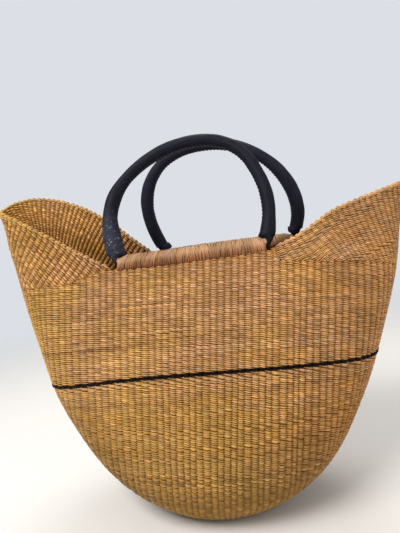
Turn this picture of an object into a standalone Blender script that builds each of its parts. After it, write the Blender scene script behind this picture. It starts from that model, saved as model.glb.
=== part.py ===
"""Hand-woven straw shopper with two leather-covered loop handles.

Frame: metres, +Z up, +X along the mouth's long way, -Y the front.
Origin: centre of the flat underside of the woven base.

The woven body is a thin shell. A point of its outer face is given by an
angle t round the basket and a height z: the half length and the half depth
come from the body stations, the mouth has a straight run at the middle of the
front and of the back where the rolls sit, and the rows of straw arch up a
little at the middle of the front and of the back, as they do when a full
basket hangs from its handles. The mouth's back is pushed a little to the
right of its front, as on the real, hand-made thing.
"""
import bpy
import bmesh
import math
import numpy as np
from mathutils import Vector

# ------------------------------------------------------------ dimensions (m)
# height of a row at the basket's ends, half length, half depth (outer face)
STATIONS = (
    (0.000, 0.054, 0.042),
    (0.010, 0.084, 0.063),
    (0.028, 0.110, 0.081),
    (0.060, 0.138, 0.100),
    (0.101, 0.161, 0.111),
    (0.147, 0.182, 0.1145),
    (0.202, 0.199, 0.102),
    (0.258, 0.2135, 0.064),
    (0.276, 0.217, 0.051),
    (0.313, 0.2245, 0.038),
    (0.350, 0.2355, 0.036),
    (0.400, 0.253, 0.036),
)
WALL = 0.006            # thickness of the woven wall
GAP = 0.0003            # gap between neighbouring pieces
BASE_TOP = 0.030        # where the base's rows end and the wall's begin
BAND_Z = 0.159          # middle of the dyed rows, at the basket's ends
BAND_H = 0.0046         # height of the two dyed rows
RIM_Z = 0.276           # rim at the rolls, before the arch of the rows
WING_DROP = 0.0165      # the wings start this far below the rim
WING_TOP_LEFT = 0.354   # tip of the left wing
WING_TOP_RIGHT = 0.344  # tip of the right wing
RISE_LEFT = 1.18        # how late the rim rises from a roll to a tip
RISE_RIGHT = 0.92
BACK_RISE_LEFT = 0.036  # extra height of the left wing's back edge
BACK_RISE_RIGHT = -0.004
FLAT_SHARE = 0.375      # share of the half length that is straight at the rim
FLAT_FROM = 0.200       # height where the straight run starts to form
WING_SHARE = 0.395      # share of the half length where a wing starts
ARCH_BAND = 0.026       # rows stand this much higher at the front's middle
ARCH_RIM = 0.0110
TILT_BAND = 0.017       # rows climb to the right (+) or to the left (-)
TILT_RIM = -0.056
SHIFT_FRONT = 0.004     # the front roll stands this far right of the base
SHIFT_BACK = 0.037      # and the back roll this far
SHIFT_FROM = 0.120

ROLL_HALF = 0.0703      # half length of the straw roll
ROLL_W = 0.0155         # its thickness across the wall
ROLL_H = 0.0195         # its height
ROLL_DROP = 0.0027      # its middle is this far below the bar's
BAR_R = 0.0043          # straw core of a handle
BORE_R = 0.0047         # room for it inside the roll
BAR_LIFT = 0.0052       # bar's centre above the wall's top edge
SLOT_W = 0.0074         # room in the roll for the wall's top edge
SLEEVE_IN = 0.0046
SLEEVE_OUT = 0.0068     # leather cover's outer radius
SLEEVE_START = 0.0085   # height above the bar where the cover starts
LACE_R = 0.0009
RING_TOP = {-1: 0.1225, 1: 0.1240}              # top of each loop above its bar
RING_SKEW = {-1: (0.070, 0.30), 1: (0.018, -0.18)}   # where each starts to lean sideways, and how much
RING_MID = 0.042        # height of its widest place
RING_FRONT = 0.0855     # half width at that place
RING_BACK = 0.0895
FOOT_HALF = 0.0785      # half width at the bar
LEAN = math.radians(14.0)   # both loops lean in over the mouth

N_T = 60                # sections round the basket

STRAW = (0.56, 0.36, 0.13, 1.0)
BLACK_STRAW = (0.02, 0.012, 0.01, 1.0)
LEATHER = (0.018, 0.019, 0.024, 1.0)


# ------------------------------------------------------------ small maths
def monotone(xs, ys):
    """Smooth curve through the stations without overshoot."""
    xs = np.asarray(xs, float)
    ys = np.asarray(ys, float)
    h = np.diff(xs)
    d = np.diff(ys) / h
    m = np.zeros(len(xs))
    m[0], m[-1] = d[0], d[-1]
    for i in range(1, len(xs) - 1):
        if d[i - 1] * d[i] > 0:
            w1 = 2 * h[i] + h[i - 1]
            w2 = h[i] + 2 * h[i - 1]
            m[i] = (w1 + w2) / (w1 / d[i - 1] + w2 / d[i])

    def f(x):
        x = np.clip(x, xs[0], xs[-1])
        i = np.clip(np.searchsorted(xs, x) - 1, 0, len(xs) - 2)
        s = (x - xs[i]) / h[i]
        return (ys[i] * (1 + 2 * s) * (1 - s) ** 2 + m[i] * h[i] * s * (1 - s) ** 2
                + ys[i + 1] * s * s * (3 - 2 * s) + m[i + 1] * h[i] * s * s * (s - 1))
    return f


# the bowl is flat where it meets the base: interpolate over sqrt(height)
_q = [math.sqrt(s[0]) for s in STATIONS]
_half_len = monotone(_q, [s[1] for s in STATIONS])
_half_dep = monotone(_q, [s[2] for s in STATIONS])


def half_length(z):
    return _half_len(np.sqrt(np.maximum(z, 0.0)))


def half_depth(z):
    return _half_dep(np.sqrt(np.maximum(z, 0.0)))


def ramp(z, a, b):
    k = np.clip((z - a) / (b - a), 0.0, 1.0)
    return k * k * (3 - 2 * k)


def beyond(c, share):
    """0 inside the given share of the half length, 1 at the end."""
    return np.clip((np.abs(c) - share) / (1 - share), 0.0, 1.0)


def body_point(t, z):
    """Outer face of the woven body at angle t and row height z."""
    t = np.asarray(t, float)
    z = np.asarray(z, float)
    c = np.cos(t)
    side = np.sign(np.sin(t))
    share = FLAT_SHARE * ramp(z, FLAT_FROM, RIM_Z)
    s = side * np.sqrt(np.maximum(0.0, 1 - beyond(c, share) ** 2))
    a = half_length(z)
    b = half_depth(z)
    hold = 1 - beyond(c, WING_SHARE) ** 2
    mid = 0.5 * (SHIFT_BACK + SHIFT_FRONT)
    half = 0.5 * (SHIFT_BACK - SHIFT_FRONT)
    x = a * c + ramp(z, SHIFT_FROM, RIM_Z) * hold * (mid + half * s)
    y = b * s
    arch = np.interp(z, [0, BAND_Z, RIM_Z, 1], [0, ARCH_BAND, ARCH_RIM, ARCH_RIM])
    tilt = np.interp(z, [0, BAND_Z, RIM_Z, 1], [0, TILT_BAND, TILT_RIM, TILT_RIM])
    zz = z + arch * s * s + tilt * a * np.sign(c) * beyond(c, WING_SHARE)
    return np.stack([x, y, zz], -1)


def rim_height(t):
    c = np.cos(t)
    u = beyond(c, WING_SHARE)
    top = np.where(c > 0, WING_TOP_RIGHT, WING_TOP_LEFT)
    rise = np.where(c > 0, BACK_RISE_RIGHT, BACK_RISE_LEFT) * (np.sin(t) > 0)
    return RIM_Z + (top - RIM_Z) * u ** np.where(c > 0, RISE_RIGHT, RISE_LEFT) + rise * 4.66 * u ** 1.4 * (1 - u) ** 0.9


def wall_top(t):
    """Top row of the wall: the rim at the rolls, lower under the wings."""
    c = np.cos(t)
    u = (np.abs(c) - (WING_SHARE - 0.03)) / np.where(c > 0, 0.06, 0.26)
    return RIM_Z - WING_DROP * np.clip(u, 0, 1)


def normals(t, z):
    e = 1e-4
    z0 = np.maximum(z - e, 1e-7)
    dt = body_point(t + e, z) - body_point(t - e, z)
    dz = body_point(t, z + e) - body_point(t, z0)
    n = np.cross(dt, dz)
    return n / np.linalg.norm(n, axis=-1, keepdims=True)


# ------------------------------------------------------------ mesh helpers
def material(name, colour, rough):
    m = bpy.data.materials.get(name)
    if m is None:
        m = bpy.data.materials.new(name)
        m.use_nodes = True
        p = m.node_tree.nodes["Principled BSDF"]
        p.inputs["Base Color"].default_value = colour
        p.inputs["Roughness"].default_value = rough
        p.inputs["Metallic"].default_value = 0.0
    return m


def add_object(name, bm, mat, origin=(0, 0, 0), sharp=40, parent=None):
    bmesh.ops.recalc_face_normals(bm, faces=bm.faces)
    mesh = bpy.data.meshes.new(name)
    o = Vector(origin)
    for v in bm.verts:
        v.co -= o
    bm.to_mesh(mesh)
    bm.free()
    mesh.shade_smooth()
    mesh.set_sharp_from_angle(angle=math.radians(sharp))
    obj = bpy.data.objects.new(name, mesh)
    bpy.context.scene.collection.objects.link(obj)
    if parent is None:
        obj.location = o
    else:
        obj.parent = parent
        obj.location = o - parent.location
    obj.data.materials.append(mat)
    return obj


def add_grid(bm, pts, closed):
    """Vertices of a grid of points [row][column] and its quads."""
    rows = [[bm.verts.new(p) for p in row] for row in pts]
    n = len(rows[0])
    for a, b in zip(rows[:-1], rows[1:]):
        for i in range(n if closed else n - 1):
            j = (i + 1) % n
            bm.faces.new((a[i], a[j], b[j], b[i]))
    return rows


def join_rows(bm, a, b, closed):
    n = len(a)
    for i in range(n if closed else n - 1):
        j = (i + 1) % n
        bm.faces.new((a[i], a[j], b[j], b[i]))


def shell(name, t, zgrid, mat, closed=True):
    """Wall piece: outer face from the rows zgrid[row][column], inner face
    one wall thickness inside it, closed along its edges."""
    tt = np.broadcast_to(t, zgrid.shape)
    out = body_point(tt, zgrid)
    inn = out - WALL * normals(tt, zgrid)
    bm = bmesh.new()
    o = add_grid(bm, out, closed)
    i = add_grid(bm, inn, closed)
    join_rows(bm, o[0], i[0], closed)
    join_rows(bm, o[-1], i[-1], closed)
    if not closed:
        for k in (0, -1):
            for r in range(len(o) - 1):
                bm.faces.new((o[r][k], o[r + 1][k], i[r + 1][k], i[r][k]))
    return add_object(name, bm, mat)


def sweep(bm, centres, us, vs, section, closed):
    """Sweep a section of (u, v) points along centres with frames us, vs."""
    rings = []
    for c, u, v in zip(centres, us, vs):
        rings.append([bm.verts.new(c + u * a + v * b) for a, b in section])
    n = len(section)
    pairs = list(zip(rings[:-1], rings[1:]))
    if closed:
        pairs.append((rings[-1], rings[0]))
    for a, b in pairs:
        for i in range(n):
            j = (i + 1) % n
            bm.faces.new((a[i], a[j], b[j], b[i]))
    return rings


def circle(r, n, phase=0.5):
    return [(r * math.cos(2 * math.pi * (i + phase) / n),
             r * math.sin(2 * math.pi * (i + phase) / n)) for i in range(n)]


# ------------------------------------------------------------ clear the scene
for ob in list(bpy.data.objects):
    bpy.data.objects.remove(ob, do_unlink=True)

straw = material("straw", STRAW, 0.62)
black_straw = material("black_straw", BLACK_STRAW, 0.55)
leather = material("leather", LEATHER, 0.5)

# ------------------------------------------------------------ woven body
T = np.arange(N_T) * 2 * math.pi / N_T


def rows_between(lo, hi, n):
    """n + 1 rows of heights, evenly spaced over sqrt(height) low down."""
    lo = np.broadcast_to(lo, T.shape)
    hi = np.broadcast_to(hi, T.shape)
    k = np.linspace(0, 1, n + 1)[:, None]
    q = np.sqrt(lo)[None] * (1 - k) + np.sqrt(hi)[None] * k
    return q * q


# base: flat round start, then the bowl
bm = bmesh.new()
zb = rows_between(1e-6, BASE_TOP - GAP / 2, 5)
tt = np.broadcast_to(T, zb.shape)
outer = body_point(tt, zb)
outer[0, :, 2] = 0.0
inner = outer - WALL * normals(tt, zb)
inner[0] = outer[1] * [1, 1, 0] * 0.96 + [0, 0, WALL]
inner[1, :, 2] = np.maximum(inner[1, :, 2], WALL + 0.002)
o_rows = add_grid(bm, outer, True)
i_rows = add_grid(bm, inner, True)
for rows, centre in ((o_rows, 0.0), (i_rows, WALL)):
    hub = bm.verts.new((0, 0, centre))
    ring = rows[0]
    for i in range(N_T):
        bm.faces.new((ring[i], ring[(i + 1) % N_T], hub))
join_rows(bm, o_rows[-1], i_rows[-1], True)
add_object("base_weave", bm, straw)

band_lo = BAND_Z - BAND_H / 2
band_hi = BAND_Z + BAND_H / 2
shell("lower_wall", T, rows_between(BASE_TOP + GAP / 2, band_lo - GAP / 2, 7), straw)
shell("accent_band", T, rows_between(band_lo + GAP / 2, band_hi - GAP / 2, 1), black_straw)
shell("upper_wall", T, rows_between(band_hi + GAP / 2, wall_top(T), 6), straw)

# wings: patches between the wall's top row and the rim, and their edges
SPAN = 11               # sections of the body from a wing's middle to its end


def wing(side, mid):
    t = mid + np.arange(-SPAN, SPAN + 1) * 2 * math.pi / N_T
    lo = wall_top(t) + GAP
    hi = np.maximum(rim_height(t), lo + 0.0035)
    k = np.linspace(0, 1, 6)[:, None]
    z = lo[None] * (1 - k) + hi[None] * k
    shell(side + "_wing", t, z, straw, closed=False)

    # finished edge: stake ends bent over along the rim
    out = body_point(t, hi)
    n = normals(t, hi)
    up = body_point(t, hi) - body_point(t, hi - 0.004)
    up = up / np.linalg.norm(up, axis=1, keepdims=True)
    along = np.gradient(out, axis=0)
    along = along / np.linalg.norm(along, axis=1, keepdims=True)
    up = np.cross(n, along)
    up = up * np.sign(up[:, 2:3])
    up = up / np.linalg.norm(up, axis=1, keepdims=True)
    mid_edge = out - n * (WALL / 2)
    section = [(0.0034 * a, 0.0021 * b) for a, b in circle(1.0, 8)]
    bm = bmesh.new()
    cs = [Vector(p) for p in mid_edge + up * (0.0021 * math.cos(math.pi / 8) + 0.0006)]
    cs[0] = cs[0].lerp(cs[1], 0.15)     # clear of the handles' feet
    cs[-1] = cs[-1].lerp(cs[-2], 0.15)
    rings = sweep(bm, cs, [Vector(v) for v in n], [Vector(v) for v in up], section, False)
    bm.faces.new(rings[0])
    bm.faces.new(rings[-1])
    add_object(side + "_wing_border", bm, straw)


wing("right", 0.0)
wing("left", math.pi)


# ------------------------------------------------------------ rolls
def rim_frame(t):
    """Middle of the wall's top edge, its outward normal and its up way."""
    t = np.array([t, t])
    z = np.array([RIM_Z - 0.004, RIM_Z])
    low, top = [Vector(v) for v in body_point(t, z) - normals(t, z) * (WALL / 2)]
    up = top - low
    up.x = 0
    up.normalize()
    n = up.cross(Vector((1, 0, 0)))
    if n.y * top.y < 0:
        n = -n
    return top, n, up


def roll_section():
    """Oval outside, a channel inside: a round bore for the bar, open below
    into a slot that takes the wall's top edge."""
    a, b = ROLL_W / 2, ROLL_H / 2
    drop = -ROLL_DROP
    pts = []
    half = math.asin((SLOT_W / 2) / a)
    n = 18
    start = -math.pi / 2 + half
    for i in range(n + 1):
        ang = start + (2 * math.pi - 2 * half) * i / n
        pts.append((a * math.cos(ang), b * math.sin(ang) + drop))
    w = SLOT_W / 2
    top = -math.sqrt(BORE_R ** 2 - w * w)
    m = 10
    a0 = math.atan2(top, -w)
    a1 = math.atan2(top, w)
    sweep_angle = (a0 - a1) % (2 * math.pi)
    for i in range(m + 1):
        ang = a0 - sweep_angle * i / m
        pts.append((BORE_R * math.cos(ang), BORE_R * math.sin(ang)))
    return pts


def roll(name, side, shift):
    p, n, up = rim_frame(math.copysign(math.pi / 2, side))
    axis = p + up * BAR_LIFT
    axis.x = shift
    bm = bmesh.new()
    ends = (-ROLL_HALF, -ROLL_HALF + 0.0012, ROLL_HALF - 0.0012, ROLL_HALF)
    sizes = (0.93, 1.0, 1.0, 0.93)
    cs, sections = [], []
    base = roll_section()
    rings = []
    for x, k in zip(ends, sizes):
        c = axis + Vector((x, 0, 0))
        ring = []
        for i, (a, b) in enumerate(base):
            f = k if i <= 18 else 1.0
            ring.append(bm.verts.new(c + n * (a * f) + up * (b * f)))
        rings.append(ring)
    m = len(base)
    for r0, r1 in zip(rings[:-1], rings[1:]):
        for i in range(m):
            j = (i + 1) % m
            bm.faces.new((r0[i], r0[j], r1[j], r1[i]))
    for r in (rings[0], rings[-1]):
        f = bm.faces.new(r)
        bmesh.ops.triangulate(bm, faces=[f])
    add_object(name, bm, straw)
    return axis


front_axis = roll("front_rim_binding", -1, SHIFT_FRONT)
back_axis = roll("back_rim_binding", 1, SHIFT_BACK)


# ------------------------------------------------------------ handles
def half_width(h, widest, top):
    if h >= RING_MID:
        k = min((h - RING_MID) / (top - RING_MID), 1.0)
        return widest * math.sqrt(max(0.0, 1 - k * k))
    k = (RING_MID - h) / RING_MID
    return widest - (widest - FOOT_HALF) * k * k


def skew(h, sign):
    """Sideways shift of a hand-bent loop at height h."""
    start, rate = RING_SKEW[sign]
    k = max(0.0, h - start)
    return rate * k * k / (k + 0.012)


def loop_points(widest, sign, n_arch=36):
    """Open arch from the right foot to the left foot, in the loop's plane:
    x across, h up from the bar. Starts where the leather starts."""
    top = RING_TOP[sign]
    pts = []
    low = np.linspace(SLEEVE_START, RING_MID, 6)[:-1]
    for h in low:
        pts.append((half_width(h, widest, top), h))
    for i in range(n_arch - 9):
        a = math.pi * i / (n_arch - 10)
        pts.append((widest * math.cos(a), RING_MID + (top - RING_MID) * math.sin(a)))
    for h in low[::-1]:
        pts.append((-half_width(h, widest, top), h))
    return [(x + skew(h, sign), h) for x, h in pts]


def handle(side_name, axis, sign, widest):
    """sign is -1 at the front, +1 at the back: the loop leans to -sign*Y."""
    pivot = bpy.data.objects.new(side_name + "_pivot", None)
    bpy.context.scene.collection.objects.link(pivot)
    pivot.location = axis
    rise = Vector((0, -sign * math.sin(LEAN), math.cos(LEAN)))
    across = Vector((1, 0, 0))
    face = across.cross(rise)
    arch = loop_points(widest, sign)

    def place(p):
        return axis + across * p[0] + rise * p[1]

    def frames(pts, closed):
        cs = [place(p) for p in pts]
        us = []
        n = len(cs)
        for i in range(n):
            if closed:
                d = cs[(i + 1) % n] - cs[i - 1]
            else:
                d = cs[min(i + 1, n - 1)] - cs[max(i - 1, 0)]
            d.normalize()
            us.append(d.cross(face).normalized())
        return cs, us, [face] * n

    # straw core: the arch, two tight corners and the bar in the roll
    corner = []
    foot = half_width(SLEEVE_START, widest, RING_TOP[sign])
    r = 0.0072
    for i in range(1, 6):
        a = math.pi / 2 * i / 6
        corner.append((-foot + r - r * math.cos(a), SLEEVE_START - 0.0013 - (SLEEVE_START - 0.0013) * math.sin(a)))
    bar = [(-foot + r, 0.0), (0.0, 0.0), (foot - r, 0.0)]
    path = arch + corner + bar + [(-p[0], p[1]) for p in corner[::-1]]
    bm = bmesh.new()
    cs, us, vs = frames(path, True)
    sweep(bm, cs, us, vs, circle(BAR_R, 8), True)
    add_object(side_name + "_handle_core", bm, straw, axis, parent=pivot)

    # leather cover: a tube round the arch, open at both feet
    bm = bmesh.new()
    cs, us, vs = frames(arch, False)
    outer = sweep(bm, cs, us, vs, circle(SLEEVE_OUT, 12), False)
    inner = sweep(bm, cs, us, vs, circle(SLEEVE_IN / math.cos(math.pi / 12), 12), False)
    for k in (0, -1):
        for i in range(12):
            j = (i + 1) % 12
            bm.faces.new((outer[k][i], outer[k][j], inner[k][j], inner[k][i]))
    add_object(side_name + "_handle_leather", bm, leather, axis, parent=pivot)

    # lacing along the cover's seam, on the inside of the loop
    bm = bmesh.new()
    part = slice(2, len(cs) - 2)
    inward = []
    for c, u in zip(cs, us):
        to_mid = place((0, RING_MID)) - c
        inward.append(u if u.dot(to_mid) > 0 else -u)
    seam = [c + w * (SLEEVE_OUT + GAP + LACE_R) for c, w in zip(cs, inward)][part]
    rings = sweep(bm, seam, us[part], vs[part], circle(LACE_R, 6), False)
    bm.faces.new(rings[0])
    bm.faces.new(rings[-1])
    add_object(side_name + "_handle_lacing", bm, leather, axis, parent=pivot)


handle("front", front_axis, -1, RING_FRONT)
handle("back", back_axis, 1, RING_BACK)
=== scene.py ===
import math
import bpy
import numpy as np
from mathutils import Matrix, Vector


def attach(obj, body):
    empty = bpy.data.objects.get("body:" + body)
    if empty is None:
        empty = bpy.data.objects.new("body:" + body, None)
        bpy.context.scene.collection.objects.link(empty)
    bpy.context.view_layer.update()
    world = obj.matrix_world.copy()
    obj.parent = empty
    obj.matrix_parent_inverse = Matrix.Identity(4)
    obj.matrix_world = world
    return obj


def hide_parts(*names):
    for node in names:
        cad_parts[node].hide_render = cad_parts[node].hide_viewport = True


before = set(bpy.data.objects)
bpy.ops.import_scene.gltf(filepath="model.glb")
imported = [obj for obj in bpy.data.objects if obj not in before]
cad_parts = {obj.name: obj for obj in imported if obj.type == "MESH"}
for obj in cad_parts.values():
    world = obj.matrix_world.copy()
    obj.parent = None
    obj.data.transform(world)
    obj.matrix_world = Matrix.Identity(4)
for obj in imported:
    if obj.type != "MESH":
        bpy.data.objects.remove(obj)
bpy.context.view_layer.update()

# The basket as it looks: every row of the wall is two straw strands twined
# round the stakes, drawn as real strands. The surface they follow is the CAD
# body's own, so its functions are repeated here.
scene = bpy.context.scene
PI = math.pi

# ------------------------------------------------------------ camera
az, el, ro = math.radians(9.18), math.radians(3.89), math.radians(-7.67)
r_ = Vector((math.cos(az), math.sin(az), 0))
fw = Vector((-math.sin(az) * math.cos(el), math.cos(az) * math.cos(el), -math.sin(el)))
u_ = r_.cross(fw)
r2 = math.cos(ro) * r_ + math.sin(ro) * u_
u2 = -math.sin(ro) * r_ + math.cos(ro) * u_
cam = bpy.data.objects.new("camera", bpy.data.cameras.new("camera"))
scene.collection.objects.link(cam)
eye = Vector((.0782, -.4526, .3027))
m = cam.matrix_world.copy()
for i in range(3):
    m[i][0], m[i][1], m[i][2], m[i][3] = r2[i], u2[i], -fw[i], eye[i]
cam.matrix_world = m
cam.data.lens = 36 * 400 / 533
cam.data.sensor_width = 36
cam.data.sensor_fit = "AUTO"
cam.data.clip_start = 0.01
cam.data.clip_end = 60
scene.camera = cam

# ------------------------------------------------------------ the body's surface
STATIONS = (
    (0.000, 0.054, 0.042), (0.010, 0.084, 0.063), (0.028, 0.110, 0.081), (0.060, 0.138, 0.100),
    (0.101, 0.161, 0.111), (0.147, 0.182, 0.1145), (0.202, 0.199, 0.102), (0.258, 0.2135, 0.064),
    (0.276, 0.217, 0.051), (0.313, 0.2245, 0.038), (0.350, 0.2355, 0.036), (0.400, 0.253, 0.036))
WALL = 0.006
BASE_TOP = 0.030
BAND_Z, BAND_H = 0.159, 0.0046
RIM_Z, WING_DROP = 0.276, 0.0165
WING_TOP_LEFT, WING_TOP_RIGHT = 0.354, 0.344
RISE_LEFT, RISE_RIGHT = 1.18, 0.92
BACK_RISE_LEFT, BACK_RISE_RIGHT = 0.036, -0.004
FLAT_SHARE, FLAT_FROM, WING_SHARE = 0.375, 0.200, 0.395
ARCH_BAND, ARCH_RIM, TILT_BAND, TILT_RIM = 0.026, 0.0110, 0.017, -0.056
SHIFT_FRONT, SHIFT_BACK, SHIFT_FROM = 0.004, 0.037, 0.120
ROLL_HALF, ROLL_W, ROLL_H, ROLL_DROP, BAR_LIFT = 0.0703, 0.0155, 0.0195, 0.0027, 0.0052
SLEEVE_OUT, SLEEVE_START = 0.0068, 0.0085
RING_MID, RING_FRONT, RING_BACK, FOOT_HALF = 0.042, 0.0855, 0.0895, 0.0785
RING_TOP = {-1: 0.1225, 1: 0.1240}
RING_SKEW = {-1: (0.070, 0.30), 1: (0.018, -0.18)}
LEAN = math.radians(14.0)


def monotone(xs, ys):
    xs, ys = np.asarray(xs, float), np.asarray(ys, float)
    h = np.diff(xs)
    d = np.diff(ys) / h
    m = np.zeros(len(xs))
    m[0], m[-1] = d[0], d[-1]
    for i in range(1, len(xs) - 1):
        if d[i - 1] * d[i] > 0:
            w1, w2 = 2 * h[i] + h[i - 1], h[i] + 2 * h[i - 1]
            m[i] = (w1 + w2) / (w1 / d[i - 1] + w2 / d[i])

    def f(x):
        x = np.clip(x, xs[0], xs[-1])
        i = np.clip(np.searchsorted(xs, x) - 1, 0, len(xs) - 2)
        s = (x - xs[i]) / h[i]
        return (ys[i] * (1 + 2 * s) * (1 - s) ** 2 + m[i] * h[i] * s * (1 - s) ** 2
                + ys[i + 1] * s * s * (3 - 2 * s) + m[i + 1] * h[i] * s * s * (s - 1))
    return f


_q = [math.sqrt(s[0]) for s in STATIONS]
_half_len = monotone(_q, [s[1] for s in STATIONS])
_half_dep = monotone(_q, [s[2] for s in STATIONS])


def ramp(z, a, b):
    k = np.clip((z - a) / (b - a), 0.0, 1.0)
    return k * k * (3 - 2 * k)


def beyond(c, share):
    return np.clip((np.abs(c) - share) / (1 - share), 0.0, 1.0)


def body_point(t, z):
    t, z = np.asarray(t, float), np.asarray(z, float)
    c = np.cos(t)
    side = np.sign(np.sin(t))
    share = FLAT_SHARE * ramp(z, FLAT_FROM, RIM_Z)
    s = side * np.sqrt(np.maximum(0.0, 1 - beyond(c, share) ** 2))
    root = np.sqrt(np.maximum(z, 0.0))
    a, b = _half_len(root), _half_dep(root)
    hold = 1 - beyond(c, WING_SHARE) ** 2
    mid = 0.5 * (SHIFT_BACK + SHIFT_FRONT)
    half = 0.5 * (SHIFT_BACK - SHIFT_FRONT)
    wide = np.where(c < 0, 0.0165 * (1 - ramp(z, 0.300, 0.335)) - 0.012 * ramp(z, 0.315, 0.350), 0.008)
    x = a * c * (1 + wide) + ramp(z, SHIFT_FROM, RIM_Z) * hold * (mid + half * s)
    arch = np.interp(z, [0, BAND_Z, RIM_Z, 1], [0, ARCH_BAND, ARCH_RIM, ARCH_RIM])
    tilt = np.interp(z, [0, BAND_Z, RIM_Z, 1], [0, TILT_BAND, TILT_RIM, TILT_RIM])
    zz = z + arch * s * s + tilt * a * np.sign(c) * beyond(c, WING_SHARE)
    return np.stack(np.broadcast_arrays(x, b * s, zz), -1)


def rim_height(t):
    c = np.cos(t)
    u = beyond(c, WING_SHARE)
    top = np.where(c > 0, WING_TOP_RIGHT, WING_TOP_LEFT)
    rise = np.where(c > 0, BACK_RISE_RIGHT, BACK_RISE_LEFT) * (np.sin(t) > 0)
    # the right wing's front rim starts low beside the roll, then steepens
    dip = 0.0036 * np.sin(PI * np.clip(u / 0.36, 0, 1) ** 0.75) * (np.sin(t) < 0)
    bend = np.where(c > 0, 0.0036 * ramp(u, 0.22, 0.50) - dip, 0.0)
    return (RIM_Z + (top - RIM_Z) * u ** np.where(c > 0, RISE_RIGHT, RISE_LEFT)
            + rise * 4.66 * u ** 1.4 * (1 - u) ** 0.9 + bend)


def wall_top(t):
    c = np.cos(t)
    u = (np.abs(c) - (WING_SHARE - 0.03)) / np.where(c > 0, 0.06, 0.26)
    return RIM_Z - WING_DROP * np.clip(u, 0, 1)


def unit(v):
    return v / np.maximum(np.linalg.norm(v, axis=-1, keepdims=True), 1e-12)


def surface(t, z):
    """Outer face point, outward normal and the way up the wall."""
    e = 1e-4
    p = body_point(t, z)
    dt = body_point(t + e, z) - body_point(t - e, z)
    dz = body_point(t, z + e) - body_point(t, np.maximum(z - e, 1e-7))
    return p, unit(np.cross(dt, dz)), unit(dz)


DISC = 0.048            # the flat underside's rows run over this length
DISC_A, DISC_B = STATIONS[0][1], STATIONS[0][2]

_zs = np.linspace(0, math.sqrt(0.30), 500) ** 2
_len = np.zeros(len(_zs))
for _t in (0.0, PI / 4, PI / 2, 3 * PI / 4, PI, 5 * PI / 4, 3 * PI / 2, 7 * PI / 4):
    _p = body_point(np.full_like(_zs, _t), _zs)
    _len += np.concatenate([[0], np.cumsum(np.linalg.norm(np.diff(_p, axis=0), axis=1))]) / 8


def z_of_q(q):
    return np.interp(q, _len, _zs)


def q_of_z(z):
    return np.interp(z, _zs, _len)


# around the basket: w runs from 0 to 1 with equal lengths of wall
_tt = np.linspace(0, 2 * PI, 1441)
_map_q = np.concatenate([[-DISC], np.linspace(0, q_of_z(0.2759), 70)])
_map = []
_perimeter = []
for q in _map_q:
    if q < 0:
        p = np.stack([DISC_A * np.cos(_tt), DISC_B * np.sin(_tt), 0 * _tt], -1)
    else:
        p = body_point(_tt, np.full_like(_tt, max(z_of_q(q), 1e-6)))
    cum = np.concatenate([[0], np.cumsum(np.linalg.norm(np.diff(p, axis=0), axis=1))])
    _perimeter.append(cum[-1])
    _map.append(np.interp(np.linspace(0, 1, 721), cum / cum[-1], _tt))
_map = np.array(_map)
_perimeter = np.array(_perimeter)
_perimeter[0] = 0.0


def t_of_w(w, q):
    """Angle for the share w of the way round at wall length q (scalar)."""
    i = np.interp(q, _map_q, np.arange(len(_map_q)))
    a = int(min(i, len(_map_q) - 2))
    f = i - a
    turn = np.floor(w)
    col = (w - turn) * 720
    c0 = np.minimum(col.astype(int), 719)
    fc = col - c0
    row = _map[a] * (1 - f) + _map[a + 1] * f
    return row[c0] * (1 - fc) + row[c0 + 1] * fc + 2 * PI * turn


# ------------------------------------------------------------ small helpers
rng = np.random.default_rng(20240611)


def smooth_noise(n, corr, gen=rng):
    """Periodic smooth noise, about -2 to 2, that varies over corr samples."""
    m = max(n, 8 * corr)
    x = gen.normal(size=m)
    f = np.fft.rfftfreq(m)
    y = np.fft.irfft(np.fft.rfft(x - x.mean()) * np.exp(-2 * (PI * f * corr * 0.5) ** 2), m)
    return (y / max(y.std(), 1e-3))[:n]


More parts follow.
